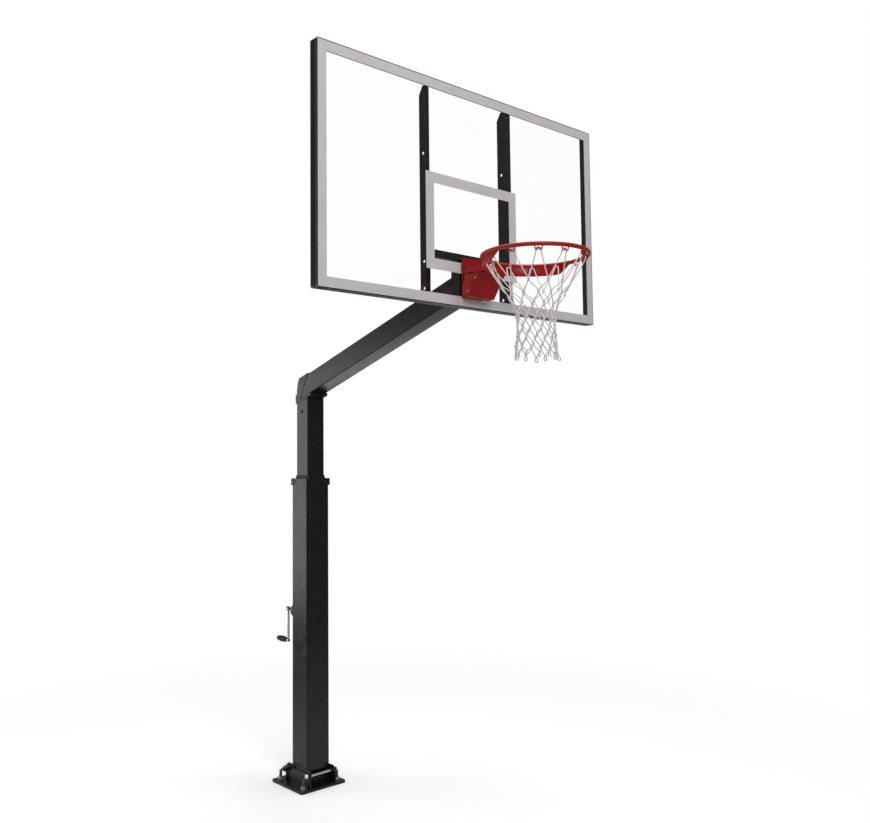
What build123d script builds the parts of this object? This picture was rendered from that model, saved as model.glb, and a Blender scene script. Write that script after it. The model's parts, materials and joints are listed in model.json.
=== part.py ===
"""Crank-adjusted, anchor-mounted basketball hoop, modelled as an assembly.

Frame: origin on the underside of the base plate, at the centre of its stud
pattern. +Z is up, the backboard faces -Y, +X is to the right seen from the
court. All sizes are millimetres.
"""
import os
from math import cos, radians, sin, sqrt, tan

from build123d import *

os.makedirs("parts", exist_ok=True)

# ---------------------------------------------------------------- sizes
# base
PLATE = 304.8
PLATE_T = 12.7
PLATE_R = 14.0
STUD_PITCH = 228.6
STUD_R = 8.0
STUD_TOP = 67.0
LUG_IN = 82.0            # inner face of each base lug, from the centre plane
LUG_T = 8.0
LUG_TOP = 98.0           # rear ear of each lug
LUG_FRONT = 90.0         # the lower part, ahead of the ear
ROD_R = 10.0             # hinge rod
FRONT_R = 8.0            # front rod
ROD_Z = 78.0
ROD_Y = 100.0            # rods stand this far either side of the post axis
RUN_FIT = 0.05           # radial clearance of turning fits

# post
POST_Y = -20.0           # post axis, measured from the plate centre
LOWER = 152.4
UPPER = 114.3
WALL = 4.8
LOWER_FOOT = 90.0
FOOT_PLATE = (60.0, 106.0)
LOWER_TOP = 1725.0
UPPER_FOOT = 800.0
HOLE_Z = 2116.0          # cross hole near the top of the upper post
HOLE_R = 9.5
COLLAR = 156.0
COLLAR_Z = 1689.0
COLLAR_H = 40.0
BEZEL = 128.0
BEZEL_H = 19.0
TRAVEL = 305.0           # up and down from the height drawn

# drive
SHAFT_Z = 953.0
SHAFT_R = 8.0
HOUSING_R = 42.0
HOUSING_OUT = 155.0      # from the post axis to the end of the gear housing
CRANK_OUT = 229.0        # from the post axis to the crank arm
CRANK_LEN = 185.0
GRIP_LEN = 104.0
SCREW_R = 11.0
SCREW_TOP = 1720.0
NUT_Z = 1380.0
CASE = 84.0

# arm
ARM_W = 114.3
ARM_H = 114.3
ARM_WALL = 4.8
ARM_TILT = 17.3
ARM_Z0 = 2197.0          # underside of the arm where it crosses the post axis
FLANGE_T = 8.0
SEAM = 4.5               # open joint between the arm and its end cap

# backboard, measured from its lower edge and its front face
BOARD_W = 1828.8
BOARD_H = 1066.8
BOARD_Z = 2553.0
OVERHANG = 1368.0        # post axis to the front face of the glass
GLASS_T = 12.7
GLASS_R = 7.0
TAPE_T = 4.3
FRAME_W = 25.4
FRAME_D = 31.75
BORDER_W = 49.0
PRINT_T = 0.4
TARGET_W = 609.6
TARGET_H = 457.2
TARGET_LINE = 50.8
TARGET_Z = 158.3
UPRIGHT_X = 264.0
UPRIGHT_FLANGE = 28.0
UPRIGHT_D = 67.0
BAR_Z = 221.0
BAR_H = 36.0
BAR_D = 28.0

# rim
RIM_R = 238.1            # centre line of the ring
ROD_RIM = 9.5
RIM_Z = 190.0            # above the lower edge of the board
RIM_OUT = 390.0          # ring centre in front of the glass
PLATE_RIM_W = 160.0
PLATE_RIM_Z = (42.0, 233.0)
PLATE_RIM_T = 6.0
HOUSE_X = (80.0, 84.0)
NECK_X = (85.0, 89.0)
PIVOT = (-24.0, 180.0)   # rim hinge: in front of the glass, above the board edge
BAND_H = 40.0
BAND_T = 5.0
HOOKS = 12

BACK = POST_Y + LOWER / 2
FACE_Y = POST_Y - OVERHANG
REAR_OF_GLASS = FACE_Y + GLASS_T + TAPE_T
SLOPE = tan(radians(ARM_TILT))
RING_Y = FACE_Y - RIM_OUT
RING_Z = BOARD_Z + RIM_Z


def save(sub, name):
    """Label one subcomponent and write its file."""
    sub.part.label = name
    export_step(sub.part, f"parts/{name}.step")


def block(x, y, z, mode=Mode.ADD):
    """Box from three (low, high) spans, added to the part being built."""
    with Locations(((x[0] + x[1]) / 2, (y[0] + y[1]) / 2, (z[0] + z[1]) / 2)):
        Box(x[1] - x[0], y[1] - y[0], z[1] - z[0], mode=mode)


def rod_x(x, y, z, r, mode=Mode.ADD):
    """Cylinder along X between the two ends of span x."""
    with Locations(Location(((x[0] + x[1]) / 2, y, z), (0, 90, 0))):
        Cylinder(r, x[1] - x[0], mode=mode)


def rod_y(x, y, z, r, mode=Mode.ADD):
    """Cylinder along Y between the two ends of span y."""
    with Locations(Location((x, (y[0] + y[1]) / 2, z), (90, 0, 0))):
        Cylinder(r, y[1] - y[0], mode=mode)


def rod_z(x, y, z, r, mode=Mode.ADD):
    """Cylinder along Z between the two ends of span z."""
    with Locations((x, y, (z[0] + z[1]) / 2)):
        Cylinder(r, z[1] - z[0], mode=mode)


def hexagon(plane, across, height, bore=0.0, mode=Mode.ADD):
    """Hexagonal prism rising from a plane, with an optional bore."""
    with BuildSketch(plane) as outline:
        RegularPolygon(across / sqrt(3), 6)
        if bore:
            Circle(bore, mode=Mode.SUBTRACT)
    extrude(outline.sketch, amount=height, mode=mode)


def side_prism(points, x, mode=Mode.ADD):
    """Outline in (y, z), extruded between the two ends of span x."""
    with BuildSketch(Plane.YZ.offset(x[0])) as outline:
        with BuildLine():
            Polyline(*points, close=True)
        make_face()
    extrude(outline.sketch, amount=x[1] - x[0], mode=mode)


def facing(x, y, z, axis):
    """Work plane at a point with its normal along axis."""
    return Plane(origin=(x, y, z), z_dir=axis)


def post_tube(size, wall, z, radius):
    """Hollow square post section with rounded corners."""
    with BuildSketch(Plane.XY.offset(z[0])) as section:
        with Locations((0, POST_Y)):
            RectangleRounded(size, size, radius)
            RectangleRounded(size - 2 * wall, size - 2 * wall, radius - wall + 0.5,
                             mode=Mode.SUBTRACT)
    extrude(section.sketch, amount=z[1] - z[0])


STUDS = [(sx * STUD_PITCH / 2, sy * STUD_PITCH / 2) for sx in (-1, 1) for sy in (-1, 1)]
SIDES = (-1, 1)

# ---------------------------------------------------------------- base
with BuildPart() as base_plate:
    with BuildSketch():
        RectangleRounded(PLATE, PLATE, PLATE_R)
        with Locations(*STUDS):
            Circle(STUD_R + 1.0, mode=Mode.SUBTRACT)
    extrude(amount=PLATE_T)
    fillet(base_plate.faces().sort_by(Axis.Z)[-1].outer_wire().edges(), 2.0)
save(base_plate, "base_plate")

with BuildPart() as base_lugs:
    for s in SIDES:
        x = (LUG_IN, LUG_IN + LUG_T) if s > 0 else (-LUG_IN - LUG_T, -LUG_IN)
        with BuildSketch(Plane.YZ.offset(x[0])) as lug_shape:
            with Locations((POST_Y, (PLATE_T + LUG_TOP) / 2)):
                Rectangle(2 * ROD_Y + 44, LUG_TOP - PLATE_T)
            fillet(lug_shape.vertices().group_by(Axis.Y)[-1], 18)
            with Locations((POST_Y + ROD_Y, ROD_Z)):
                Circle(ROD_R + 0.1, mode=Mode.SUBTRACT)
            with Locations((POST_Y - ROD_Y, ROD_Z + 20.5)):
                SlotOverall(60, 2 * FRONT_R + 3.0, rotation=90, mode=Mode.SUBTRACT)
            with Locations((POST_Y - 61, LUG_FRONT + 8)):
                Rectangle(200, 16, mode=Mode.SUBTRACT)
        extrude(amount=LUG_T)
    for y in (POST_Y - 62, POST_Y + 56):
        block((-LUG_IN, LUG_IN), (y, y + 6), (PLATE_T, 52))
save(base_lugs, "base_lugs")

with BuildPart() as anchor_studs:
    for x, y in STUDS:
        rod_z(x, y, (0, STUD_TOP), STUD_R)
    chamfer(anchor_studs.faces().group_by(Axis.Z)[-1].edges(), 1.5)
save(anchor_studs, "anchor_studs")

with BuildPart() as anchor_washers:
    for x, y in STUDS:
        rod_z(x, y, (PLATE_T, PLATE_T + 3), 18)
        rod_z(x, y, (PLATE_T, PLATE_T + 3), STUD_R + 0.5, Mode.SUBTRACT)
save(anchor_washers, "anchor_washers")

with BuildPart() as anchor_nuts:
    for x, y in STUDS:
        hexagon(Plane(origin=(x, y, PLATE_T + 3), x_dir=(1, 0.4, 0)), 26, 14, STUD_R + 0.02)
save(anchor_nuts, "anchor_nuts")

with BuildPart() as hinge_rod:
    rod_x((-128, 112), POST_Y + ROD_Y, ROD_Z, ROD_R)
    hexagon(facing(112, POST_Y + ROD_Y, ROD_Z, (1, 0, 0)), 30, 12)
save(hinge_rod, "hinge_rod")

with BuildPart() as hinge_nut:
    hexagon(facing(-112, POST_Y + ROD_Y, ROD_Z, (1, 0, 0)), 32, 18, ROD_R + 0.02)
save(hinge_nut, "hinge_nut")

with BuildPart() as hinge_washers:
    for x in ((-94, -LUG_IN - LUG_T), (LUG_IN + LUG_T, 94)):
        rod_x(x, POST_Y + ROD_Y, ROD_Z, 20)
        rod_x(x, POST_Y + ROD_Y, ROD_Z, ROD_R + 0.3, Mode.SUBTRACT)
save(hinge_washers, "hinge_washers")

# ---------------------------------------------------------------- lower post
with BuildPart() as lower_post:
    post_tube(LOWER, WALL, (LOWER_FOOT, LOWER_TOP), 9.0)
    rod_y(0, (BACK - 20, BACK + 20), SHAFT_Z, 21, Mode.SUBTRACT)
    for s in SIDES:
        for t in SIDES:
            rod_y(36 * s, (BACK - 20, BACK + 20), SHAFT_Z + 36 * t, 4.1, Mode.SUBTRACT)
            rod_y(45 * s, (POST_Y - 100, POST_Y + 100), COLLAR_Z + 20, 4.3, Mode.SUBTRACT)
            rod_x((-100, 100), POST_Y + 45 * s, COLLAR_Z + 20, 4.3, Mode.SUBTRACT)
save(lower_post, "lower_post")

with BuildPart() as foot_plates:
    for s in SIDES:
        x = (LOWER / 2, LUG_IN - 0.8) if s > 0 else (0.8 - LUG_IN, -LOWER / 2)
        with BuildSketch(Plane.YZ.offset(x[0])) as foot_shape:
            with Locations((POST_Y, sum(FOOT_PLATE) / 2)):
                Rectangle(2 * ROD_Y + 40, FOOT_PLATE[1] - FOOT_PLATE[0])
            fillet(foot_shape.vertices(), 16)
            with Locations((POST_Y + ROD_Y, ROD_Z)):
                Circle(ROD_R + RUN_FIT, mode=Mode.SUBTRACT)
            with Locations((POST_Y - ROD_Y, ROD_Z)):
                Circle(FRONT_R + 0.1, mode=Mode.SUBTRACT)
        extrude(amount=x[1] - x[0])
save(foot_plates, "foot_plates")

with BuildPart() as front_rod:
    rod_x((-90.5, 106), POST_Y - ROD_Y, ROD_Z, FRONT_R)
    hexagon(facing(-90.5, POST_Y - ROD_Y, ROD_Z, (-1, 0, 0)), 24, 10)
save(front_rod, "front_rod")

with BuildPart() as front_rod_nut:
    hexagon(facing(90.5, POST_Y - ROD_Y, ROD_Z, (1, 0, 0)), 24, 13, FRONT_R + 0.02)
save(front_rod_nut, "front_rod_nut")

with BuildPart() as post_collar:
    with BuildSketch(Plane.XY.offset(COLLAR_Z)):
        with Locations((0, POST_Y)):
            RectangleRounded(COLLAR, COLLAR, 10)
        for s in SIDES:
            for t in SIDES:
                with Locations((s * 68, POST_Y + t * 68)):
                    RectangleRounded(28, 28, 5)
    extrude(amount=COLLAR_H)
    chamfer(post_collar.faces().sort_by(Axis.Z)[-1].outer_wire().edges(), 1.2)
    with BuildSketch(Plane.XY.offset(COLLAR_Z)):
        with Locations((0, POST_Y)):
            RectangleRounded(LOWER + 0.2, LOWER + 0.2, 9.1)
    extrude(amount=LOWER_TOP - COLLAR_Z, mode=Mode.SUBTRACT)
    with BuildSketch(Plane.XY.offset(COLLAR_Z)):
        with Locations((0, POST_Y)):
            RectangleRounded(UPPER + 8, UPPER + 8, 9)
    extrude(amount=COLLAR_H, mode=Mode.SUBTRACT)
    for s in SIDES:
        rod_y(45 * s, (POST_Y - 100, POST_Y + 100), COLLAR_Z + 20, 4.05, Mode.SUBTRACT)
        rod_x((-100, 100), POST_Y + 45 * s, COLLAR_Z + 20, 4.05, Mode.SUBTRACT)
save(post_collar, "post_collar")

with BuildPart() as collar_bezel:
    with BuildSketch(Plane.XY.offset(COLLAR_Z + COLLAR_H)):
        with Locations((0, POST_Y)):
            RectangleRounded(BEZEL, BEZEL, 9)
    extrude(amount=BEZEL_H, taper=14)
    with BuildSketch(Plane.XY.offset(COLLAR_Z + COLLAR_H)):
        with Locations((0, POST_Y)):
            RectangleRounded(UPPER + 1.0, UPPER + 1.0, 6.5)
    extrude(amount=BEZEL_H, mode=Mode.SUBTRACT)
save(collar_bezel, "collar_bezel")

with BuildPart() as collar_screws:
    half = COLLAR / 2
    for s in SIDES:
        for t in SIDES:
            at = (COLLAR_Z + 20)
            for plane in (
                facing(45 * t, POST_Y + s * (half - 7), at, (0, s, 0)),
                facing(s * (half - 7), POST_Y + 45 * t, at, (s, 0, 0)),
            ):
                with BuildSketch(plane):
                    Circle(4.0)
                extrude(amount=7)
                hexagon(plane.offset(7), 13, 4)
save(collar_screws, "collar_screws")

PAD_IN = UPPER / 2 + 0.2
PAD_OUT = LOWER / 2 - WALL - 0.1
with BuildPart() as guide_pads:
    for s in SIDES:
        y = sorted((POST_Y + s * PAD_IN, POST_Y + s * PAD_OUT))
        x = sorted((s * PAD_IN, s * PAD_OUT))
        block((-40, 40), y, (1600, 1688))
        block(x, (POST_Y - 40, POST_Y + 40), (1600, 1688))
save(guide_pads, "guide_pads")

# ---------------------------------------------------------------- drive
with BuildPart() as gear_housing:
    with BuildSketch(facing(0, BACK, SHAFT_Z, (0, 1, 0))):
        RectangleRounded(92, 92, 10)
    extrude(amount=6)
    rod_y(0, (BACK, POST_Y + HOUSING_OUT), SHAFT_Z, HOUSING_R)
    fillet(gear_housing.faces().sort_by(Axis.Y)[-1].edges(), 14)
    rod_y(0, (BACK + 8, POST_Y + HOUSING_OUT - 10), SHAFT_Z, HOUSING_R - 6, Mode.SUBTRACT)
    rod_y(0, (BACK - 1, BACK + 10), SHAFT_Z, 15.1, Mode.SUBTRACT)
    rod_y(0, (POST_Y + HOUSING_OUT - 12, POST_Y + HOUSING_OUT + 1), SHAFT_Z,
          SHAFT_R + RUN_FIT, Mode.SUBTRACT)
    for s in SIDES:
        for t in SIDES:
            rod_y(36 * s, (BACK - 1, BACK + 7), SHAFT_Z + 36 * t, 4.1, Mode.SUBTRACT)
            rod_y(36 * s, (BACK + 6, BACK + 12), SHAFT_Z + 36 * t, 8.0, Mode.SUBTRACT)
save(gear_housing, "gear_housing")

with BuildPart() as housing_bolts:
    for s in SIDES:
        for t in SIDES:
            rod_y(36 * s, (BACK - WALL, BACK + 6), SHAFT_Z + 36 * t, 4.0)
            hexagon(facing(36 * s, BACK + 6, SHAFT_Z + 36 * t, (0, 1, 0)), 12, 5)
save(housing_bolts, "housing_bolts")

with BuildPart() as gear_case:
    block((-CASE / 2, CASE / 2), (POST_Y - CASE / 2, POST_Y + CASE / 2),
          (SHAFT_Z - 45, SHAFT_Z + 45))
    fillet(gear_case.edges().filter_by(Axis.Z), 8)
    block((-CASE / 2 + 6, CASE / 2 - 6), (POST_Y - CASE / 2 + 6, POST_Y + CASE / 2 - 6),
          (SHAFT_Z - 39, SHAFT_Z + 39), Mode.SUBTRACT)
    rod_y(0, (POST_Y + CASE / 2 - 2, BACK + 8), SHAFT_Z, 15)
    rod_y(0, (POST_Y + CASE / 2 - 7, BACK + 9), SHAFT_Z, SHAFT_R + RUN_FIT, Mode.SUBTRACT)
    rod_z(0, POST_Y, (SHAFT_Z + 38, SHAFT_Z + 46), SCREW_R + RUN_FIT, Mode.SUBTRACT)
save(gear_case, "gear_case")

with BuildPart() as input_shaft:
    rod_y(0, (POST_Y + 16, POST_Y + CRANK_OUT + 5), SHAFT_Z, SHAFT_R)
save(input_shaft, "input_shaft")

GEAR_R = 24.0            # pitch radius of each mitre gear
GEAR_TOOTH = 16
GEAR_GROOVE = 5.4

with BuildPart() as gear_blank:
    with BuildSketch(Plane.XZ):
        with BuildLine():
            Polyline((5, -15), (17, -15), (GEAR_R, -22), (GEAR_R - 3.5, -25.5), (16, -27),
                     (16, -36), (5, -36), close=True)
        make_face()
    revolve(axis=Axis.Z)
    with PolarLocations(0, GEAR_TOOTH):
        with Locations(Location((GEAR_R - 3 + 0.8, 0, 3.8 - GEAR_R), (0, 45, 0))):
            Box(40, GEAR_GROOVE, 5.2, mode=Mode.SUBTRACT)

with BuildPart() as screw_gear:
    with Locations(Location((0, POST_Y, SHAFT_Z), (0, 0, 90))):
        add(gear_blank.part)
    rod_z(0, POST_Y, (SHAFT_Z - 60, SHAFT_Z + 60), SCREW_R, Mode.SUBTRACT)
save(screw_gear, "screw_gear")

with BuildPart() as input_gear:
    with Locations(Location((0, POST_Y, SHAFT_Z), (90, 0, 360 / GEAR_TOOTH / 2))):
        add(gear_blank.part)
    rod_y(0, (POST_Y - 60, POST_Y + 60), SHAFT_Z, SHAFT_R, Mode.SUBTRACT)
save(input_gear, "input_gear")

with BuildPart() as thrust_bearing:
    rod_z(0, POST_Y, (SHAFT_Z - 39, SHAFT_Z - 36.05), 18)
    rod_z(0, POST_Y, (SHAFT_Z - 39, SHAFT_Z - 36.05), 7, Mode.SUBTRACT)
save(thrust_bearing, "thrust_bearing")

with BuildPart() as lead_screw:
    rod_z(0, POST_Y, (SHAFT_Z - 36, SCREW_TOP), SCREW_R)
    chamfer(lead_screw.faces().sort_by(Axis.Z)[-1].edges(), 2.0)
save(lead_screw, "lead_screw")

CRANK_Y = POST_Y + CRANK_OUT
with BuildPart() as crank_arm:
    with BuildSketch(facing(0, CRANK_Y - 5, SHAFT_Z, (0, 1, 0))):
        Circle(13)
    extrude(amount=16)
    block((-6, 6), (CRANK_Y - 4, CRANK_Y + 4), (SHAFT_Z - CRANK_LEN, SHAFT_Z))
    rod_y(0, (CRANK_Y - 5, CRANK_Y + 5), SHAFT_Z - CRANK_LEN, 10)
    rod_y(0, (CRANK_Y - 6, CRANK_Y + 5), SHAFT_Z, SHAFT_R, Mode.SUBTRACT)
    rod_y(0, (CRANK_Y - 6, CRANK_Y + 6), SHAFT_Z - CRANK_LEN, 6.0, Mode.SUBTRACT)
save(crank_arm, "crank_arm")

with BuildPart() as grip_pin:
    rod_y(0, (CRANK_Y - 5, CRANK_Y + 5 + GRIP_LEN + 3), SHAFT_Z - CRANK_LEN, 6.0)
    rod_y(0, (CRANK_Y + 7 + GRIP_LEN, CRANK_Y + 11 + GRIP_LEN), SHAFT_Z - CRANK_LEN, 9.0)
save(grip_pin, "grip_pin")

with BuildPart() as crank_grip:
    with BuildSketch(Plane(origin=(0, CRANK_Y + 6, SHAFT_Z - CRANK_LEN), x_dir=(1, 0, 0),
                           z_dir=(0, 0, 1))):
        with BuildLine():
            g = GRIP_LEN
            Spline((9, 0), (15, 0.25 * g), (17.5, 0.6 * g), (12, g))
            Polyline((12, g), (6.05, g), (6.05, 0), (9, 0))
        make_face()
    revolve(axis=Axis((0, 0, SHAFT_Z - CRANK_LEN), (0, 1, 0)))
save(crank_grip, "crank_grip")

# ---------------------------------------------------------------- upper post


def arm_under(y):
    """Height of the arm's underside at a given y."""
    return ARM_Z0 - (y - POST_Y) * SLOPE


HALF = UPPER / 2
TOP_DROP = 2 * FLANGE_T / cos(radians(ARM_TILT))
with BuildPart() as upper_post:
    post_tube(UPPER, WALL, (UPPER_FOOT, ARM_Z0 + 60), 6.0)
    low, high = POST_Y + 2 * HALF, POST_Y - 2 * HALF
    side_prism([(low, arm_under(low) - TOP_DROP), (high, arm_under(high) - TOP_DROP),
                (high, ARM_Z0 + 200), (low, ARM_Z0 + 200)], (-HALF - 5, HALF + 5),
               Mode.SUBTRACT)
    block((-18, 18), (POST_Y + 40, POST_Y + 70), (UPPER_FOOT - 5, SHAFT_Z + TRAVEL + 28),
          Mode.SUBTRACT)
    rod_x((-70, 70), POST_Y, HOLE_Z, HOLE_R, Mode.SUBTRACT)
save(upper_post, "upper_post")

with BuildPart() as foot_pads:
    span = (UPPER_FOOT + 5, UPPER_FOOT + 90)
    block((-40, 40), (POST_Y - PAD_OUT, POST_Y - HALF), span)
    for s in SIDES:
        block(sorted((s * 20, s * 48)), (POST_Y + HALF, POST_Y + PAD_OUT), span)
        block(sorted((s * HALF, s * PAD_OUT)), (POST_Y - 40, POST_Y + 40), span)
save(foot_pads, "foot_pads")

with BuildPart() as nut_carrier:
    inner = UPPER / 2 - WALL
    with BuildSketch(Plane.XY.offset(NUT_Z)):
        with Locations((0, POST_Y)):
            RectangleRounded(2 * inner, 2 * inner, 1.7)
            Circle(SCREW_R + 9, mode=Mode.SUBTRACT)
    extrude(amount=10)
save(nut_carrier, "nut_carrier")

with BuildPart() as drive_nut:
    rod_z(0, POST_Y, (NUT_Z - 30, NUT_Z + 10), SCREW_R + 9)
    rod_z(0, POST_Y, (NUT_Z + 10, NUT_Z + 18), 30)
    rod_z(0, POST_Y, (NUT_Z - 40, NUT_Z + 40), SCREW_R + RUN_FIT, Mode.SUBTRACT)
save(drive_nut, "drive_nut")

# ---------------------------------------------------------------- head and arm
FLANGE_Y = (POST_Y - 88, POST_Y + 60)


def head_flange(drop):
    """Sloped plate under the arm, its upper face drop below the arm."""
    d = drop / cos(radians(ARM_TILT))
    t = FLANGE_T / cos(radians(ARM_TILT))
    a, b = FLANGE_Y
    side_prism([(a, arm_under(a) - d), (b, arm_under(b) - d), (b, arm_under(b) - d - t),
                (a, arm_under(a) - d - t)], (-60, 60))


BOLT_AT = [(sx * 36, POST_Y - 73) for sx in SIDES]


def on_arm(x, y):
    """Plane on the arm's underside, facing down."""
    return Plane(origin=(x, y, arm_under(y)), x_dir=(1, 0, 0), z_dir=(0, -SLOPE, -1))


with BuildPart() as post_flange:
    head_flange(FLANGE_T)
    for x, y in BOLT_AT:
        with BuildSketch(on_arm(x, y)):
            Circle(6.1)
        extrude(amount=40, mode=Mode.SUBTRACT)
save(post_flange, "post_flange")

with BuildPart() as arm_flange:
    head_flange(0)
    for x, y in BOLT_AT:
        with BuildSketch(on_arm(x, y).offset(-2)):
            Circle(6.1)
        extrude(amount=40, mode=Mode.SUBTRACT)
save(arm_flange, "arm_flange")

with BuildPart() as head_bolts:
    for x, y in BOLT_AT:
        with BuildSketch(on_arm(x, y)):
            Circle(6.0)
        extrude(amount=2 * FLANGE_T)
        hexagon(on_arm(x, y).offset(2 * FLANGE_T), 19, 8)
save(head_bolts, "head_bolts")

ARM_V = ARM_H / cos(radians(ARM_TILT))
ARM_END = FACE_Y + 50.0
SEAM_TOP = POST_Y - 59.4
SEAM_LOW = POST_Y + 19.4
with BuildPart() as arm:
    w = ARM_WALL / cos(radians(ARM_TILT))
    side_prism([(SEAM_LOW, arm_under(SEAM_LOW)), (SEAM_TOP, arm_under(SEAM_TOP) + ARM_V),
                (ARM_END, arm_under(ARM_END) + ARM_V), (ARM_END, arm_under(ARM_END))],
               (-ARM_W / 2, ARM_W / 2))
    fillet(arm.edges().filter_by(lambda e: abs(e.tangent_at(0).X) < 0.1
                                 and e.length > 500), 8)
    a, b = SEAM_LOW + 60, ARM_END - 60
    side_prism([(a, arm_under(a) + w), (a, arm_under(a) + ARM_V - w),
                (b, arm_under(b) + ARM_V - w), (b, arm_under(b) + w)],
               (ARM_WALL - ARM_W / 2, ARM_W / 2 - ARM_WALL), Mode.SUBTRACT)
save(arm, "arm")

with BuildPart() as arm_cap:
    rear = [(SEAM_LOW + SEAM, arm_under(SEAM_LOW + SEAM)),
            (SEAM_TOP + SEAM, arm_under(SEAM_TOP + SEAM) + ARM_V + 5),
            (POST_Y + 31, arm_under(POST_Y + 31) + ARM_V + 6), (POST_Y + 46, ARM_Z0 + 90),
            (POST_Y + 53, ARM_Z0 + 56), (POST_Y + 60, arm_under(POST_Y + 60))]
    side_prism(rear, (-ARM_W / 2, ARM_W / 2))
    fillet(arm_cap.edges().filter_by(Axis.X).group_by(Axis.Z)[-2:-1][0], 1)
    core = [(SEAM_LOW - 3, arm_under(SEAM_LOW) + 6), (SEAM_TOP - 3, ARM_Z0 + 134),
            (POST_Y + 24, ARM_Z0 + 106), (POST_Y + 39, ARM_Z0 + 84),
            (POST_Y + 47, ARM_Z0 + 52), (POST_Y + 54, arm_under(POST_Y + 54) + 5)]
    side_prism(core, (4 - ARM_W / 2, ARM_W / 2 - 4), Mode.SUBTRACT)
    z = arm_under(POST_Y + 60)
    block((-57, 57), (POST_Y + 60, POST_Y + 68), (z - 2, z + 38))
save(arm_cap, "arm_cap")


# ---------------------------------------------------------------- backboard
CX, CZ = BOARD_W / 2, BOARD_H / 2
MID_Z = BOARD_Z + CZ
BOLT_X = 44.5
RIM_BOLTS = [(s * BOLT_X, z) for s in SIDES for z in (73.0, 200.0)]


def board_plane(depth):
    """Plane parallel to the board, depth behind the glass face, facing back."""
    return Plane(origin=(0, FACE_Y + depth, BOARD_Z), x_dir=(-1, 0, 0), z_dir=(0, 1, 0))


def ring_of(w, h, corner, line, inner):
    """Rectangular band with rounded corners, for the sketch being drawn."""
    RectangleRounded(w, h, corner)
    RectangleRounded(w - 2 * line, h - 2 * line, inner, mode=Mode.SUBTRACT)


with BuildPart() as glass_pane:
    with BuildSketch(board_plane(0)):
        with Locations((0, CZ)):
            RectangleRounded(BOARD_W, BOARD_H, GLASS_R)
        with Locations(*RIM_BOLTS):
            Circle(8, mode=Mode.SUBTRACT)
    extrude(amount=GLASS_T)
save(glass_pane, "glass_pane")

with BuildPart() as border_print:
    with BuildSketch(board_plane(-PRINT_T)):
        with Locations((0, CZ)):
            RectangleRounded(BOARD_W - 8, BOARD_H - 8, GLASS_R - 4)
            Rectangle(BOARD_W - 2 * BORDER_W, BOARD_H - 2 * BORDER_W, mode=Mode.SUBTRACT)
        with Locations((0, PLATE_RIM_Z[0] + 10)):
            Rectangle(PLATE_RIM_W + 2, 22, mode=Mode.SUBTRACT)
    extrude(amount=PRINT_T)
save(border_print, "border_print")

with BuildPart() as target_print:
    with BuildSketch(board_plane(-PRINT_T)):
        with Locations((0, TARGET_Z + TARGET_H / 2)):
            Rectangle(TARGET_W, TARGET_H)
            Rectangle(TARGET_W - 2 * TARGET_LINE, TARGET_H - 2 * TARGET_LINE,
                      mode=Mode.SUBTRACT)
        with Locations((0, sum(PLATE_RIM_Z) / 2)):
            Rectangle(PLATE_RIM_W + 2, PLATE_RIM_Z[1] - PLATE_RIM_Z[0] + 2,
                      mode=Mode.SUBTRACT)
    extrude(amount=PRINT_T)
save(target_print, "target_print")

with BuildPart() as glass_tape:
    with BuildSketch(board_plane(GLASS_T)):
        with Locations((0, CZ)):
            ring_of(BOARD_W - 2, BOARD_H - 2, GLASS_R - 1, FRAME_W - 3, 4)
    extrude(amount=TAPE_T)
save(glass_tape, "glass_tape")

REACH = 60.0
CORNERS = [(-CX, CZ), (CX, CZ), (CX, -CZ), (-CX, -CZ)]
for k, name in enumerate(("frame_top", "frame_left", "frame_bottom", "frame_right")):
    seat = Plane(origin=(0, REAR_OF_GLASS, MID_Z), x_dir=(-1, 0, 0), z_dir=(0, 1, 0))
    a, b = CORNERS[k], CORNERS[(k + 1) % 4]
    inward = [(x - REACH * (1 if x > 0 else -1), z - REACH * (1 if z > 0 else -1))
              for x, z in (b, a)]
    with BuildPart() as member:
        with BuildSketch(seat):
            ring_of(BOARD_W, BOARD_H, GLASS_R, FRAME_W, 3)
        extrude(amount=FRAME_D)
        with BuildSketch(seat.offset(2.5)):
            ring_of(BOARD_W - 5, BOARD_H - 5, GLASS_R - 2.5, FRAME_W - 5, 5)
        extrude(amount=FRAME_D - 5, mode=Mode.SUBTRACT)
        with BuildSketch(seat):
            with BuildLine():
                Polyline(a, b, *inward, close=True)
            make_face()
        extrude(amount=FRAME_D, mode=Mode.INTERSECT)
    save(member, name)

with BuildPart() as board_uprights:
    y0 = REAR_OF_GLASS
    for s in SIDES:
        web = sorted((s * UPRIGHT_X, s * (UPRIGHT_X + 4)))
        flange = sorted((s * UPRIGHT_X, s * (UPRIGHT_X + UPRIGHT_FLANGE)))
        z0, z1 = BOARD_Z + FRAME_W, BOARD_Z + BOARD_H - FRAME_W
        side_prism([(y0, z0), (y0, z1), (y0 + UPRIGHT_D - 24, z1), (y0 + UPRIGHT_D, z1 - 40),
                    (y0 + UPRIGHT_D, z0 + 30), (y0 + UPRIGHT_D - 20, z0)],
                   web)
        block(flange, (y0, y0 + 4), (z0, z1))
        for z in (75, 202, 717):
            rod_x((s * UPRIGHT_X - 10, s * UPRIGHT_X + 10), FACE_Y + 58, BOARD_Z + z, 7.0,
                  Mode.SUBTRACT)
save(board_uprights, "board_uprights")

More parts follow.
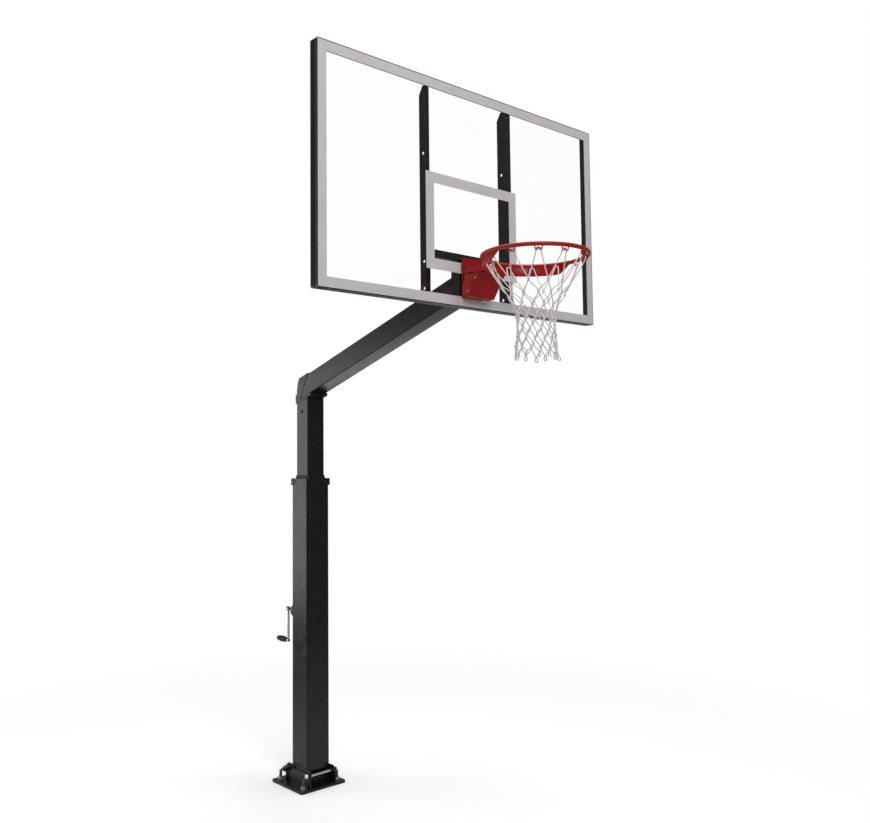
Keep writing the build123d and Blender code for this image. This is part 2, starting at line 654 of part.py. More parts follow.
with BuildPart() as crossbar:
    bar = (REAR_OF_GLASS, REAR_OF_GLASS + BAR_D)
    block((-UPRIGHT_X, UPRIGHT_X), bar, (BOARD_Z + BAR_Z, BOARD_Z + BAR_Z + BAR_H))
    block((-UPRIGHT_X, UPRIGHT_X), (bar[0] + 3, bar[1] - 3),
          (BOARD_Z + BAR_Z + 3, BOARD_Z + BAR_Z + BAR_H - 3), Mode.SUBTRACT)
save(crossbar, "crossbar")

MOUNT_X = 76.0
MOUNT_D = 28.0
with BuildPart() as mount_channel:
    z = (BOARD_Z + FRAME_W, BOARD_Z + BAR_Z)
    block((-MOUNT_X, MOUNT_X), (REAR_OF_GLASS, REAR_OF_GLASS + MOUNT_D), z)
    block((-MOUNT_X + 5, MOUNT_X - 5), (REAR_OF_GLASS + 5, REAR_OF_GLASS + MOUNT_D + 1),
          (z[0] - 1, z[1] + 1), Mode.SUBTRACT)
    for x, h in RIM_BOLTS:
        rod_y(x, (REAR_OF_GLASS - 1, REAR_OF_GLASS + 6), BOARD_Z + h, 5.1, Mode.SUBTRACT)
save(mount_channel, "mount_channel")

CHEEK_REAR = FACE_Y + 92
with BuildPart() as arm_cheeks:
    for s in SIDES:
        x = sorted((s * ARM_W / 2, s * (ARM_W / 2 + 5)))
        a, b = REAR_OF_GLASS + 5, CHEEK_REAR
        side_prism([(a, BOARD_Z + 28), (a, BOARD_Z + BAR_Z), (b, BOARD_Z + BAR_Z),
                    (b, BOARD_Z + 12),
                    (REAR_OF_GLASS + FRAME_D + 1, BOARD_Z + 12),
                    (REAR_OF_GLASS + FRAME_D + 1, BOARD_Z + 28)], x)
    block((-ARM_W / 2, ARM_W / 2), (a, ARM_END - 1), (BOARD_Z + 170, BOARD_Z + 176))
save(arm_cheeks, "arm_cheeks")

# ---------------------------------------------------------------- rim
SPRING_Y = FACE_Y - 57
SHELF_Z = BOARD_Z + 90
with BuildPart() as rim_plate:
    with BuildSketch(board_plane(-PLATE_RIM_T)):
        with Locations((0, sum(PLATE_RIM_Z) / 2)):
            Rectangle(PLATE_RIM_W, PLATE_RIM_Z[1] - PLATE_RIM_Z[0])
        with Locations(*RIM_BOLTS):
            Circle(5.1, mode=Mode.SUBTRACT)
    extrude(amount=PLATE_RIM_T)
    block((-30, 30), (FACE_Y - 72, FACE_Y - 3), (SHELF_Z - 5, SHELF_Z))
    for x in (-30, 26):
        side_prism([(FACE_Y - 3, SHELF_Z - 5), (FACE_Y - 3, SHELF_Z - 38),
                    (FACE_Y - 55, SHELF_Z - 5)], (x, x + 4))
save(rim_plate, "rim_plate")

with BuildPart() as rim_bolts:
    for x, h in RIM_BOLTS:
        rod_y(x, (FACE_Y - PLATE_RIM_T, REAR_OF_GLASS + 18), BOARD_Z + h, 5.0)
        hexagon(facing(x, FACE_Y - PLATE_RIM_T, BOARD_Z + h, (0, -1, 0)), 16, 6)
save(rim_bolts, "rim_bolts")

with BuildPart() as rim_bolt_nuts:
    for x, h in RIM_BOLTS:
        hexagon(facing(x, REAR_OF_GLASS + 5, BOARD_Z + h, (0, 1, 0)), 14, 8, 5.02)
save(rim_bolt_nuts, "rim_bolt_nuts")

# side outline of the fixed housing: (in front of the glass, above the board edge)
HOUSE_REAR = FACE_Y - PLATE_RIM_T
LEAN = (151.0 - 42.0) / (127.0 - 53.0)


def house_outline(gap, top):
    """Side outline of the housing, gap inside its outer surface."""
    z0 = BOARD_Z + 42 + gap
    z1 = BOARD_Z + top
    front_low = FACE_Y - 53 + gap
    front_top = front_low - (z1 - z0) / LEAN
    return [(HOUSE_REAR, z0), (front_low, z0), (front_top, z1), (HOUSE_REAR, z1)]


SCREW_AT = [(-46, 68), (-95, 126)]
with BuildPart() as rim_housing:
    a, b = HOUSE_X
    side_prism(house_outline(0, 151), (-b, b))
    side_prism(house_outline(4, 175), (-a, a), Mode.SUBTRACT)
    for s in SIDES:
        ear = sorted((s * a, s * b))
        side_prism([(HOUSE_REAR, BOARD_Z + 150), (HOUSE_REAR, BOARD_Z + 192),
                    (FACE_Y - 34, BOARD_Z + 192), (FACE_Y - 44, BOARD_Z + 150)], ear)
    rod_x((-100, 100), FACE_Y + PIVOT[0], BOARD_Z + PIVOT[1], 6.05, Mode.SUBTRACT)
    for y, z in SCREW_AT:
        rod_x((-100, 100), FACE_Y + y, BOARD_Z + z, 2.5, Mode.SUBTRACT)
save(rim_housing, "rim_housing")

with BuildPart() as housing_screws:
    for s in SIDES:
        for y, z in SCREW_AT:
            hexagon(facing(s * HOUSE_X[1], FACE_Y + y, BOARD_Z + z, (s, 0, 0)), 9, 0.9)
            rod_x(sorted((s * (HOUSE_X[0] - 3), s * HOUSE_X[1])), FACE_Y + y, BOARD_Z + z, 2.5)
save(housing_screws, "housing_screws")

NECK_TOP = [(-9, 229), (-125, 203), (-190, 199)]
with BuildPart() as rim_neck:
    a, b = NECK_X
    wall = [(FACE_Y + y, BOARD_Z + z) for y, z in
            NECK_TOP + [(-190, 150), (-127, 150), (-9, 158)]]
    for s in SIDES:
        side_prism(wall, sorted((s * a, s * b)))
    roof = [(FACE_Y + y, BOARD_Z + z) for y, z in
            NECK_TOP + [(-190, 195), (-125, 199), (-9, 225)]]
    side_prism(roof, (-a, a))
    with Locations((0, SPRING_Y, BOARD_Z + 190)):
        Cylinder(11, 60)
    with Locations((0, SPRING_Y, BOARD_Z + 163)):
        Cylinder(18, 6)
    rod_z(0, RING_Y, (BOARD_Z + 100, BOARD_Z + 300), RIM_R + 2, Mode.SUBTRACT)
    with Locations((0, RING_Y, RING_Z)):
        Torus(RIM_R, ROD_RIM, mode=Mode.SUBTRACT)
    rod_x((-100, 100), FACE_Y + PIVOT[0], BOARD_Z + PIVOT[1], 6.05, Mode.SUBTRACT)
save(rim_neck, "rim_neck")

with BuildPart() as rim_pin:
    rod_x((-94, 94), FACE_Y + PIVOT[0], BOARD_Z + PIVOT[1], 6.0)
    for s in SIDES:
        rod_x(sorted((s * 89.5, s * 92.5)), FACE_Y + PIVOT[0], BOARD_Z + PIVOT[1], 9.0)
save(rim_pin, "rim_pin")

SPRING_TURNS = 6
with BuildPart() as rim_spring:
    length = BOARD_Z + 160 - SHELF_Z - 4.4
    with BuildLine(Plane(origin=(0, SPRING_Y, SHELF_Z + 2.2))) as coil:
        Helix(length / SPRING_TURNS, length, 13)
    with BuildSketch(Plane(origin=coil.line @ 0, z_dir=coil.line % 0)):
        Circle(1.9)
    sweep(path=coil.line, is_frenet=True)
save(rim_spring, "rim_spring")

with BuildPart() as rim_ring:
    with Locations((0, RING_Y, RING_Z)):
        Torus(RIM_R, ROD_RIM)
save(rim_ring, "rim_ring")

with BuildPart() as rim_brace:
    top = RING_Z - ROD_RIM + 0.6
    rod_z(0, RING_Y, (top - BAND_H, top + 4), RIM_R + 2)
    rod_z(0, RING_Y, (top - BAND_H - 1, top + 5), RIM_R + 2 - BAND_T, Mode.SUBTRACT)
    side_prism([(RING_Y - 300, top - 60), (RING_Y - 300, top + 5), (RING_Y - 5, top + 5),
                (RING_Y + 10, top - 8), (RING_Y + 55, top - BAND_H), (RING_Y + 55, top - 60)],
               (-300, 300), Mode.SUBTRACT)
    with Locations((0, RING_Y, RING_Z)):
        Torus(RIM_R, ROD_RIM, mode=Mode.SUBTRACT)
save(rim_brace, "rim_brace")

HOOK_R = 3.0
HOOK_PATH = [(-17, 0), (-13, -15), (-5, -15), (0, -4), (5, -15), (13, -15), (17, 0)]
HOOK_AT = [360 / HOOKS * (k + 0.5) for k in range(HOOKS)]
with BuildPart() as net_hook:
    with BuildLine(Plane.XZ) as bend:
        FilletPolyline(*HOOK_PATH, radius=2.5)
    with BuildSketch(Plane(origin=bend.line @ 0, z_dir=bend.line % 0)):
        Circle(HOOK_R - 0.4)
    sweep(path=bend.line)

with BuildPart() as net_hooks:
    for angle in HOOK_AT:
        r = RIM_R - 7.5
        at = (r * sin(radians(angle)), RING_Y - r * cos(radians(angle)),
              RING_Z - ROD_RIM + 1.0)
        with Locations(Location(at, (0, 0, angle))):
            add(net_hook.part)
    with Locations((0, RING_Y, RING_Z)):
        Torus(RIM_R, ROD_RIM, mode=Mode.SUBTRACT)
save(net_hooks, "net_hooks")

NET_T = 2.0
NET_TOP = RING_Z - 22.0
NET_LINE = [(222, 0), (190, -68), (130, -161), (99, -240), (94, -320), (100, -400), (106, -468)]
with BuildPart() as net:
    with BuildSketch(Plane(origin=(0, RING_Y, NET_TOP), x_dir=(1, 0, 0), z_dir=(0, -1, 0))):
        with BuildLine():
            outer = Spline(*NET_LINE)
            inner = Spline(*[(r - NET_T, z) for r, z in NET_LINE])
            Line(outer @ 0, inner @ 0)
            Line(outer @ 1, inner @ 1)
        make_face()
    revolve(axis=Axis((0, RING_Y, 0), (0, 0, 1)))
save(net, "net")
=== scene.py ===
"""Looks of the anchor-mounted basketball hoop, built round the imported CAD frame."""
import json
import math
import random

import bpy
from mathutils import Matrix, Vector


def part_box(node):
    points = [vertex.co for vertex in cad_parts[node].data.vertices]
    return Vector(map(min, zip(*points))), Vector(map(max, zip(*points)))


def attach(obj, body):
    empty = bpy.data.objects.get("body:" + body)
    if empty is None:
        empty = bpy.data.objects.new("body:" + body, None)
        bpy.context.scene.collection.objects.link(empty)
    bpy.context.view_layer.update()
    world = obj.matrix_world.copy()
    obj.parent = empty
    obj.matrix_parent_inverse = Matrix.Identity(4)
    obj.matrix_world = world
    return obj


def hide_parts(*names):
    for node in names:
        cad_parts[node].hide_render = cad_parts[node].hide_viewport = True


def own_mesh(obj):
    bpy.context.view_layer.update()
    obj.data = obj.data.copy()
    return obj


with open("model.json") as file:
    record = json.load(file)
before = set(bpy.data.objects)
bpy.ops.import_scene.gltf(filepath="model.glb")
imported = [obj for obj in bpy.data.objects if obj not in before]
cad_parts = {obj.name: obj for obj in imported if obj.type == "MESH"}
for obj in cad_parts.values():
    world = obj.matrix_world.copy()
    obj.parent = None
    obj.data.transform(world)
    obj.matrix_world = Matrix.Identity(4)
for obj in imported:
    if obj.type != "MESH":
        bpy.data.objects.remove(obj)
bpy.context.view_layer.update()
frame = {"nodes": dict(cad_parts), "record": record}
NODES = frame["nodes"]
rng = random.Random(7)


# ------------------------------------------------------------------ materials
class Shader:
    """A small helper that adds nodes to one material and links them."""

    def __init__(self, name):
        self.mat = bpy.data.materials.new(name)
        self.mat.use_nodes = True
        self.tree = self.mat.node_tree
        self.bsdf = self.tree.nodes["Principled BSDF"]
        self.coords = self.add("ShaderNodeTexCoord").outputs["Object"]

    def add(self, kind, inputs=None, **props):
        node = self.tree.nodes.new(kind)
        for key, value in props.items():
            setattr(node, key, value)
        for key, value in (inputs or {}).items():
            self.put(node.inputs[key], value)
        return node

    def put(self, socket, value):
        if isinstance(value, bpy.types.NodeSocket):
            self.tree.links.new(value, socket)
        else:
            socket.default_value = value

    def set(self, **inputs):
        for key, value in inputs.items():
            self.put(self.bsdf.inputs[key.replace("_", " ")], value)

    def noise(self, scale, detail=4.0, roughness=0.55, stretch=None):
        where = self.coords
        if stretch:
            where = self.add("ShaderNodeMapping", {"Vector": where, "Scale": stretch}).outputs[0]
        node = self.add("ShaderNodeTexNoise", {"Vector": where, "Scale": scale, "Detail": detail,
                                               "Roughness": roughness})
        return node.outputs["Fac"]

    def ramp(self, fac, low, high, a=0.0, b=1.0):
        node = self.add("ShaderNodeMapRange", {"Value": fac, "From Min": low, "From Max": high,
                                               "To Min": a, "To Max": b})
        return node.outputs[0]

    def mix(self, fac, a, b):
        node = self.add("ShaderNodeMix", data_type="RGBA")
        self.put(node.inputs["Factor"], fac)
        self.put(node.inputs["A"], a)
        self.put(node.inputs["B"], b)
        return node.outputs["Result"]

    def math(self, op, a, b=0.0):
        node = self.add("ShaderNodeMath", operation=op)
        self.put(node.inputs[0], a)
        self.put(node.inputs[1], b)
        return node.outputs[0]

    def bump(self, height, distance, strength=1.0):
        node = self.add("ShaderNodeBump", {"Height": height, "Distance": distance,
                                           "Strength": strength})
        self.put(self.bsdf.inputs["Normal"], node.outputs[0])


def col(r, g, b):
    return (r, g, b, 1.0)


def powder(name, dark, light, edge_wear_and_highlight_color, rough):
    """Powder coat: a faint orange-peel skin, faint cloudiness, and convex edges lightened as
    partly rubbed wear, partly painted highlight.
    """
    s = Shader(name)
    cloud = s.noise(3.0, 5)
    base = s.mix(s.ramp(cloud, 0.35, 0.7), col(*dark), col(*light))
    edge = s.add("ShaderNodeNewGeometry").outputs["Pointiness"]
    # convex edges (pointiness) lightened in noisy patches: partly rubbed wear, partly painted
    # highlight
    edge_wear_and_highlight = s.math("MULTIPLY", s.ramp(edge, 0.56, 0.66), s.ramp(s.noise(60, 6), 0.45, 0.62))
    base = s.mix(s.math("MULTIPLY", edge_wear_and_highlight, 0.15), base, col(*edge_wear_and_highlight_color))
    s.set(Base_Color=base, Roughness=s.ramp(s.noise(18, 6, 0.6), 0.3, 0.7, rough - 0.05,
                                            rough + 0.07))
    s.set(Specular_IOR_Level=0.24)
    s.bump(s.noise(900, 2, 0.4), 0.0006, 0.015)
    return s


def metal(name, tint, shade, rough, grain=(1, 1, 1), thread=0.0):
    s = Shader(name)
    spots = s.noise(45, 6, 0.6)
    s.set(Base_Color=s.mix(s.ramp(spots, 0.4, 0.65), col(*tint), col(*shade)), Metallic=1.0,
          Roughness=s.ramp(s.noise(160, 4, 0.6, grain), 0.3, 0.7, rough - 0.08, rough + 0.12))
    if thread:
        z = s.add("ShaderNodeSeparateXYZ", {"Vector": s.coords}).outputs["Z"]
        wave = s.math("PINGPONG", s.math("MULTIPLY", z, 1.0 / thread), 0.5)
        s.bump(wave, thread * 0.8, 0.9)
    else:
        s.bump(s.noise(400, 3, 0.5, grain), 0.0002, 0.25)
    return s


MATS = {}
# the third colour of each coat lightens its convex edges: partly rubbed wear, partly painted
# highlight
MATS["black_coat"] = powder("black_coat", (0.0058, 0.0044, 0.0044), (0.0092, 0.0072, 0.0072),
                            (0.03, 0.028, 0.027), 0.24).mat
MATS["red_coat"] = powder("red_coat", (0.30, 0.0048, 0.0045), (0.36, 0.0065, 0.0055),
                          (0.38, 0.06, 0.05), 0.36).mat
MATS["zinc"] = metal("zinc", (0.42, 0.41, 0.39), (0.26, 0.25, 0.23), 0.38).mat
MATS["bright_steel"] = metal("bright_steel", (0.66, 0.66, 0.67), (0.5, 0.5, 0.51), 0.2,
                             (30, 1, 1)).mat
MATS["grease_steel"] = metal("grease_steel", (0.10, 0.095, 0.09), (0.05, 0.045, 0.04), 0.42).mat
MATS["bronze"] = metal("bronze", (0.45, 0.30, 0.12), (0.32, 0.20, 0.08), 0.3).mat
STUD = metal("stud_steel", (0.13, 0.12, 0.11), (0.06, 0.055, 0.05), 0.45, thread=0.002).mat


def make_glass():
    """Clear tempered pane: see-through faces, dark blue-grey polished edges."""
    s = Shader("clear_glass")
    t = s.tree
    t.nodes.remove(s.bsdf)
    out = t.nodes["Material Output"]
    normal = s.add("ShaderNodeTexCoord").outputs["Normal"]
    facing = s.math("ABSOLUTE", s.add("ShaderNodeSeparateXYZ", {"Vector": normal}).outputs["Y"])
    is_edge = s.math("LESS_THAN", facing, 0.5)
    smear = s.noise(2.2, 6, 0.65, (1, 1, 2.5))
    clear = s.add("ShaderNodeBsdfTransparent", {"Color": col(0.998, 1.0, 0.999)})
    gloss = s.add("ShaderNodeBsdfGlossy", {"Color": col(1, 1, 1),
                                           "Roughness": s.ramp(smear, 0.3, 0.7, 0.01, 0.05)})
    fres = s.add("ShaderNodeFresnel", {"IOR": 1.45}).outputs[0]
    back = s.add("ShaderNodeNewGeometry").outputs["Backfacing"]
    fres = s.math("MULTIPLY", fres, s.math("SUBTRACT", 0.6, s.math("MULTIPLY", back, 0.6)))
    pane = s.add("ShaderNodeMixShader")
    s.put(pane.inputs[0], fres)
    t.links.new(clear.outputs[0], pane.inputs[1])
    t.links.new(gloss.outputs[0], pane.inputs[2])
    grain = s.noise(25, 3, 0.5, (1, 1, 1))
    edge = s.add("ShaderNodeBsdfPrincipled", {
        "Base Color": s.mix(grain, col(0.016, 0.022, 0.026), col(0.04, 0.055, 0.062)),
        "Roughness": 0.15, "IOR": 1.5})
    both = s.add("ShaderNodeMixShader")
    s.put(both.inputs[0], is_edge)
    t.links.new(pane.outputs[0], both.inputs[1])
    t.links.new(edge.outputs[0], both.inputs[2])
    t.links.new(both.outputs[0], out.inputs["Surface"])
    return s.mat


MATS["clear_glass"] = make_glass()

ink = Shader("grey_print")
ink.set(Base_Color=ink.mix(ink.ramp(ink.noise(5, 5), 0.35, 0.65), col(0.57, 0.54, 0.57),
                           col(0.61, 0.58, 0.61)),
        Roughness=ink.ramp(ink.noise(30, 5), 0.3, 0.7, 0.42, 0.55))
ink.bump(ink.noise(1500, 2), 0.0001, 0.15)
MATS["grey_print"] = ink.mat

foam = Shader("tape")
foam.set(Base_Color=foam.mix(foam.noise(600), col(0.012, 0.012, 0.012), col(0.03, 0.03, 0.03)),
         Roughness=0.85)
foam.bump(foam.noise(1200), 0.0003, 0.6)
MATS["tape"] = foam.mat

pad = Shader("pad")
pad.set(Base_Color=pad.mix(pad.noise(40), col(0.55, 0.53, 0.47), col(0.66, 0.64, 0.58)),
        Roughness=0.5)
pad.bump(pad.noise(500), 0.0002, 0.3)
MATS["pad"] = pad.mat

grip = Shader("grip_rubber")
grip.set(Base_Color=grip.mix(grip.noise(90), col(0.009, 0.009, 0.009), col(0.022, 0.022, 0.022)),
         Roughness=grip.ramp(grip.noise(60), 0.3, 0.7, 0.4, 0.6), Specular_IOR_Level=0.2)
grip.bump(grip.noise(1300), 0.0004, 0.5)
MATS["grip_rubber"] = grip.mat


def make_cord():
    """Braided nylon: two crossing helical plies over the tube's own coordinates."""
    s = Shader("net_cord")
    uv = s.add("ShaderNodeUVMap", uv_map="braid").outputs[0]
    part = s.add("ShaderNodeSeparateXYZ", {"Vector": uv})
    u, v = part.outputs["X"], part.outputs["Y"]
    plies = []
    for sign in (1, -1):
        turn = s.math("ADD", s.math("MULTIPLY", u, 4.0), s.math("MULTIPLY", v, 280.0 * sign))
        plies.append(s.math("PINGPONG", turn, 0.5))
    weave = s.math("MAXIMUM", plies[0], plies[1])
    fuzz = s.noise(300, 4, 0.7)
    # the braid's grooves are painted darker than its crowns: painted shade, following the same
    # pattern as the bump
    shade = s.mix(s.ramp(weave, 0.1, 0.5), col(0.52, 0.475, 0.46), col(0.80, 0.755, 0.745))
    s.set(Base_Color=s.mix(s.math("MULTIPLY", s.ramp(fuzz, 0.4, 0.7), 0.35), shade,
                           col(0.62, 0.57, 0.55)),
          Roughness=0.75, Sheen_Weight=0.3, Subsurface_Weight=0.1)
    s.bsdf.inputs["Subsurface Radius"].default_value = (0.004, 0.004, 0.003)
    s.bump(weave, 0.0006, 0.8)
    return s.mat


MATS["net_cord"] = make_cord()

SLOT_OF = {p["node"]: p["material_slot"] for p in frame["record"]["subparts"]}
for name, obj in NODES.items():
    mat = STUD if name == "anchor_studs" else MATS[SLOT_OF[name]]
    obj.data.materials.clear()
    obj.data.materials.append(mat)

# ------------------------------------------------------------------ soft edges on the steel
BEVEL = {"base_plate": 0.0015, "base_lugs": 0.0012, "foot_plates": 0.001, "post_collar": 0.002,
         "arm": 0.001, "arm_cap": 0.003, "post_flange": 0.001, "arm_flange": 0.001,
         "rim_housing": 0.0025, "rim_neck": 0.0015, "rim_plate": 0.001, "mount_channel": 0.0015,
         "arm_cheeks": 0.001, "crossbar": 0.0015, "board_uprights": 0.001, "rim_brace": 0.001,
         "anchor_nuts": 0.001, "head_bolts": 0.001, "hinge_nut": 0.001, "front_rod_nut": 0.001,
         "hinge_rod": 0.001, "front_rod": 0.001, "crank_arm": 0.0012, "frame_top": 0.0012,
         "frame_left": 0.0012, "frame_right": 0.0012, "frame_bottom": 0.0012,
         "collar_screws": 0.0006, "gear_housing": 0.001}
WELD_GAP = 0.00002
BEVEL_ANGLE = math.radians(35)
for name, width in BEVEL.items():
    obj = NODES[name]
    weld = obj.modifiers.new("join", "WELD")
    weld.merge_threshold = WELD_GAP
    bev = obj.modifiers.new("edges", "BEVEL")
    bev.width = width
    bev.segments = 3
    bev.limit_method = "ANGLE"
    bev.angle_limit = BEVEL_ANGLE
    bev.use_clamp_overlap = True
    bev.harden_normals = True

# ------------------------------------------------------------------ net
ring_lo, ring_hi = (Vector(v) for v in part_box("rim_ring"))
CENTRE = (ring_lo + ring_hi) / 2
HOOKS = 12
HOOK_R = 0.2306
CORD_R = 0.0026
# (drop below the ring's centre line, radius) of each row of knots
ROWS = [(0.132, 0.160), (0.184, 0.124), (0.232, 0.099), (0.276, 0.088), (0.318, 0.085),
        (0.362, 0.087), (0.408, 0.092)]
END_ROW = (0.446, 0.097)
KNOT_SIZE = 0.0036
KNOT_TURNS = 2.0
KNOT_STEPS = 24


def polar(angle, radius, z):
    a = math.radians(angle)
    return CENTRE + Vector((radius * math.sin(a), -radius * math.cos(a), z))


class Mesher:
    """Collects tubes and knots into one mesh with a braid UV map."""

    def __init__(self):
        self.verts, self.faces, self.uvs = [], [], []

    def tube(self, points, radius, sides=10):
        run = 0.0
        frames = []
        for i, p in enumerate(points):
            ahead = points[min(i + 1, len(points) - 1)] - points[max(i - 1, 0)]
            t = ahead.normalized()
            side = t.cross(Vector((0, 0, 1)))
            if side.length < 1e-4:
                side = Vector((1, 0, 0))
            side.normalize()
            frames.append((p, side, side.cross(t)))
        first = len(self.verts)
        for i, (p, a, b) in enumerate(frames):
            if i:
                run += (p - points[i - 1]).length
            for k in range(sides):
                w = 2 * math.pi * k / sides
                self.verts.append(p + (a * math.cos(w) + b * math.sin(w)) * radius)
            if i:
                back = run - (p - points[i - 1]).length
                for k in range(sides):
                    j = (k + 1) % sides
                    at = first + (i - 1) * sides
                    self.faces.append((at + k, at + j, at + sides + j, at + sides + k))
                    self.uvs.append([(k / sides, back), ((k + 1) / sides, back),
                                     ((k + 1) / sides, run), (k / sides, run)])
        for end in (0, len(frames) - 1):
            at = first + end * sides
            loop = list(range(at, at + sides))
            self.faces.append(tuple(loop if end else reversed(loop)))
            self.uvs.append([(0, 0)] * sides)

    def build(self, name, mat):
        mesh = bpy.data.meshes.new(name)
        mesh.from_pydata([tuple(v) for v in self.verts], [], self.faces)
        layer = mesh.uv_layers.new(name="braid")
        flat = [uv for face in self.uvs for uv in face]
        for loop, uv in zip(layer.data, flat):
            loop.uv = uv
        mesh.materials.append(mat)
        for poly in mesh.polygons:
            poly.use_smooth = True
        obj = bpy.data.objects.new(name, mesh)
        bpy.context.scene.collection.objects.link(obj)
        return obj


def bezier(a, b, pull_a, pull_b, steps=9):
    """Points of a cubic from a to b with the two end pulls."""
    pts = []
    for i in range(steps + 1):
        t = i / steps
        pts.append(a * (1 - t) ** 3 + (a + pull_a) * (3 * t * (1 - t) ** 2)
                   + (b - pull_b) * (3 * t * t * (1 - t)) + b * t ** 3)
    return pts


def jitter(amount):
    return Vector((rng.uniform(-1, 1), rng.uniform(-1, 1), rng.uniform(-1, 1))) * amount


net = Mesher()
STEP = 360 / HOOKS
PEG = math.degrees(0.009 / HOOK_R)
tops = []
for k in range(HOOKS):
    angle = STEP * (k + 0.5)
    pegs = [polar(angle + s * PEG, HOOK_R - 0.0045, -0.0175) for s in (-1, 1)]
    middle = polar(angle, HOOK_R - 0.007, -0.0125)
    net.tube(bezier(pegs[0], middle, Vector((0, 0, 0.006)), (pegs[1] - pegs[0]) * 0.2, 5)
             + bezier(middle, pegs[1], (pegs[1] - pegs[0]) * 0.2, Vector((0, 0, -0.006)), 5)[1:],
             CORD_R)
    tops.append(pegs)

rows = []
for r, (drop, radius) in enumerate(ROWS):
    row = []
    for k in range(HOOKS):
        angle = STEP * (k + (1 if r % 2 == 0 else 0.5))
        row.append(polar(angle + rng.uniform(-2.2, 2.2), radius * rng.uniform(0.97, 1.03),
                         -drop) + jitter(0.003))
    rows.append(row)

down = Vector((0, 0, -0.02))
for k in range(HOOKS):
    left, right = tops[k]
    for start, knot in ((left, rows[0][(k - 1) % HOOKS]), (right, rows[0][k])):
        net.tube(bezier(start, knot, (knot - start) * 0.3 + down * 0.6, (knot - start) * 0.3, 14),
                 CORD_R)
for r in range(len(ROWS) - 1):
    for k in range(HOOKS):
        here = rows[r][k]
        near = (k, (k + 1) % HOOKS) if r % 2 == 0 else ((k - 1) % HOOKS, k)
        for j in near:
            there = rows[r + 1][j]
            span = there - here
            net.tube(bezier(here, there, span * 0.25 + down * 0.7, span * 0.25 + down * 0.7),
                     CORD_R)
last = len(ROWS) - 1
feet = []
for k in range(HOOKS):
    angle = STEP * (k + (0.5 if last % 2 == 0 else 1))
    foot = polar(angle + rng.uniform(-4, 4), END_ROW[1] * rng.uniform(0.96, 1.04),
                 -END_ROW[0] + rng.uniform(-0.006, 0.008))
    pair = (rows[last][(k - 1) % HOOKS if last % 2 == 0 else k],
            rows[last][k if last % 2 == 0 else (k + 1) % HOOKS])
    for top in pair:
        net.tube(bezier(top, foot, (foot - top) * 0.3 + down * 0.5, (foot - top) * 0.3), CORD_R)
    feet.append(foot)
    out = Vector((foot.x - CENTRE.x, foot.y - CENTRE.y, 0)).normalized()
    out = out.lerp(jitter(1.0), 0.35)
    drop = Vector((0, 0, -1)) + out * rng.uniform(0.1, 0.75)
    tail = foot + drop.normalized() * rng.uniform(0.019, 0.027)
    wide = drop.cross(jitter(1.0)).normalized() * 0.008
    net.tube(bezier(foot, tail, drop * 0.006 + wide, wide * -1.0, 8)
             + bezier(tail, foot, wide * -1.0, drop * -0.006 + wide, 8)[1:], CORD_R)


def knot(at, size):
    """A hitch: two short turns of cord wound round the crossing."""
    out = Vector((at.x - CENTRE.x, at.y - CENTRE.y, 0)).normalized()
    side = out.cross(Vector((0, 0, 1)))
    pts = []
    for i in range(KNOT_STEPS + 1):
        w = 2 * math.pi * KNOT_TURNS * i / KNOT_STEPS
        pts.append(at + side * (size * math.cos(w)) + out * (size * 0.75 * math.sin(w))
                   + Vector((0, 0, (i / KNOT_STEPS - 0.5) * size * 1.7)))
    net.tube(pts, CORD_R * 0.95, 8)


for row in rows + [feet]:
    for at in row:
        knot(at, KNOT_SIZE)
cords = net.build("net_cords", MATS["net_cord"])
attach(cords, "rim")
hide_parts("net")

# ------------------------------------------------------------------ rim return spring
low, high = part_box("rim_spring")
WIRE = 0.0019
TURNS = 6
TURN_STEPS = 28
coil_r = (high.x - low.x) / 2 - WIRE
mid = (low + high) / 2
spring = Mesher()
coil = []
for i in range(TURNS * TURN_STEPS + 1):
    w = 2 * math.pi * i / TURN_STEPS
    rise = low.z + WIRE + (high.z - low.z - 2 * WIRE) * i / (TURNS * TURN_STEPS)
    coil.append(Vector((mid.x + coil_r * math.cos(w), mid.y + coil_r * math.sin(w), rise)))
spring.tube(coil, WIRE, 10)
coil_obj = spring.build("return_spring", MATS["grease_steel"])
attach(coil_obj, "upper")
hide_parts("rim_spring")
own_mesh(coil_obj)

# ------------------------------------------------------------------ floor, light, camera
FLOOR_R = 9.0
FLOOR_FADE = (0.8, 4.0)         # full at the first distance, clear at the second
bpy.ops.mesh.primitive_circle_add(vertices=96, radius=FLOOR_R, fill_type="NGON",
                                  location=(0, -0.5, -0.001))
floor = bpy.context.object
floor.name = "floor"
pale = Shader("floor_pale")
pale.set(Base_Color=pale.mix(pale.noise(0.8, 3), col(0.93, 0.93, 0.93), col(0.95, 0.95, 0.95)),
         Roughness=0.9)
pale.bsdf.inputs["Specular IOR Level"].default_value = 0.1
spread = pale.add("ShaderNodeVectorMath", {0: pale.coords}, operation="LENGTH").outputs["Value"]
pale.set(Alpha=pale.ramp(spread, *FLOOR_FADE, 1.0, 0.0))
floor.data.materials.append(pale.mat)


def aim(obj, target):
    look = Vector(target) - obj.location
    obj.rotation_euler = look.to_track_quat("-Z", "Y").to_euler()


def softbox(name, at, target, size, power):
    data = bpy.data.lights.new(name, "AREA")
    data.shape = "RECTANGLE"
    data.size, data.size_y = size
    data.energy = power
    lamp = bpy.data.objects.new(name, data)
    bpy.context.scene.collection.objects.link(lamp)
    lamp.location = at
    aim(lamp, target)
    return lamp


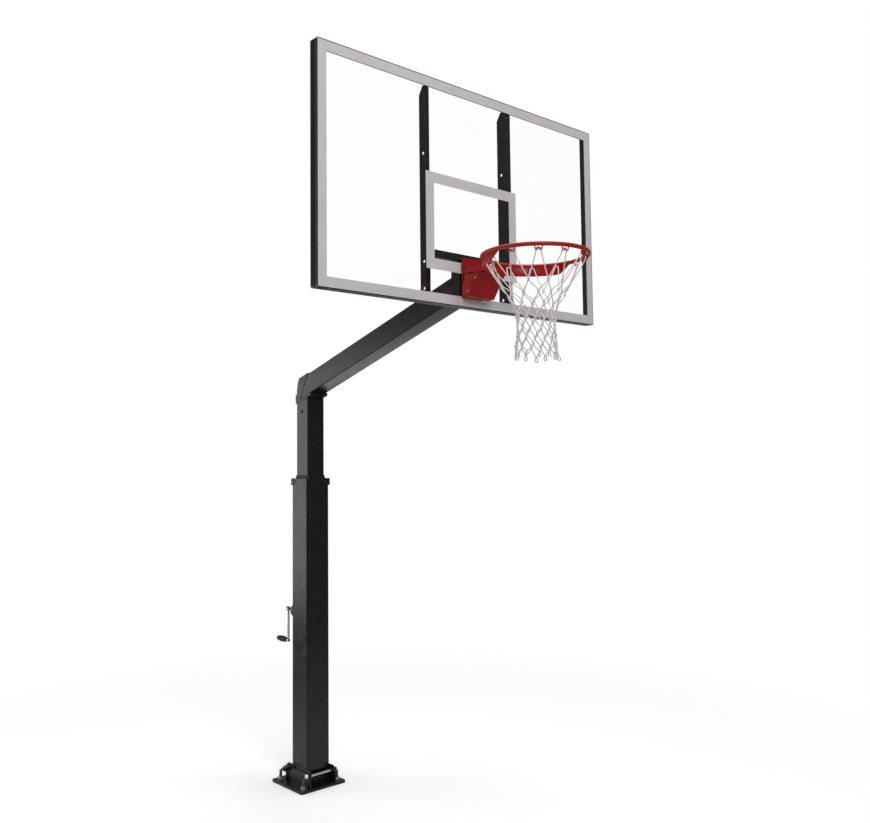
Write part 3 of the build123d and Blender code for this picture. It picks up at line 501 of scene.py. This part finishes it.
softbox("key_left", (-4.3, 5.6, 1.6), (0, 0, 1.6), (5.0, 3.4), 142)
softbox("fill_front", (-3.0, -7.5, 6.0), (0, -1.0, 2.4), (4.0, 3.0), 290)
softbox("top", (0.5, -0.5, 8.5), (0, -0.5, 0), (6.0, 6.0), 560)

world = bpy.data.worlds.new("studio")
bpy.context.scene.world = world
world.use_nodes = True
tree = world.node_tree
tree.nodes["Background"].inputs["Color"].default_value = col(1, 1, 1)


def world_node(kind, values, **props):
    node = tree.nodes.new(kind)
    for key, value in props.items():
        setattr(node, key, value)
    for key, value in values.items():
        if isinstance(value, bpy.types.NodeSocket):
            tree.links.new(value, node.inputs[key])
        else:
            node.inputs[key].default_value = value
    return node.outputs[0]


# a white backdrop; the light it throws is dim, but for the pale ground behind the stand
heading = tree.nodes.new("ShaderNodeTexCoord").outputs["Generated"]
part = tree.nodes.new("ShaderNodeSeparateXYZ")
tree.links.new(heading, part.inputs[0])
ground = world_node("ShaderNodeMapRange", {"Value": part.outputs["Z"], "From Min": -0.24,
                                           "From Max": -0.46, "To Min": 0.0, "To Max": 1.0})
behind = world_node("ShaderNodeMapRange", {"Value": part.outputs["Y"], "From Min": -0.1,
                                           "From Max": 0.5, "To Min": 0.0, "To Max": 1.0})
both = world_node("ShaderNodeMath", {0: ground, 1: behind}, operation="MULTIPLY")
dim = world_node("ShaderNodeMapRange", {"Value": both, "To Min": 0.26, "To Max": 1.0})
seen = tree.nodes.new("ShaderNodeLightPath").outputs["Is Camera Ray"]
level = world_node("ShaderNodeMath", {0: dim, 1: seen}, operation="MAXIMUM")
tree.links.new(level, tree.nodes["Background"].inputs["Strength"])
bpy.context.scene.view_settings.view_transform = "Standard"

CAM_ANGLES = (-41.63, -3.98, -0.55)     # turn, lift and roll in degrees
CAM_FROM_GLASS = (-3.103, -0.708)       # in front of the glass, above its lower edge
CAM_X = -3.104
LENS = 38.18
SHIFT = (0.0161, -0.0213)
cam_data = bpy.data.cameras.new("camera")
cam = bpy.data.objects.new("camera", cam_data)
bpy.context.scene.collection.objects.link(cam)
bpy.context.scene.camera = cam
turn, lift, tilt = (math.radians(v) for v in CAM_ANGLES)
back = Vector((math.sin(turn) * math.cos(lift), -math.cos(turn) * math.cos(lift), math.sin(lift)))
right = Vector((math.cos(turn), math.sin(turn), 0))
up = back.cross(right)
side = right * math.cos(tilt) + up * math.sin(tilt)
top = up * math.cos(tilt) - right * math.sin(tilt)
glass_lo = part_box("glass_pane")[0]
basis = Matrix((side, top, back)).transposed().to_4x4()
basis.translation = Vector((CAM_X, glass_lo[1] + CAM_FROM_GLASS[0],
                            glass_lo[2] + CAM_FROM_GLASS[1]))
cam.matrix_world = basis
cam_data.sensor_width = 36.0
cam_data.lens = LENS
cam_data.shift_x, cam_data.shift_y = SHIFT
cam_data.dof.use_dof = False
cam_data.clip_end = 100
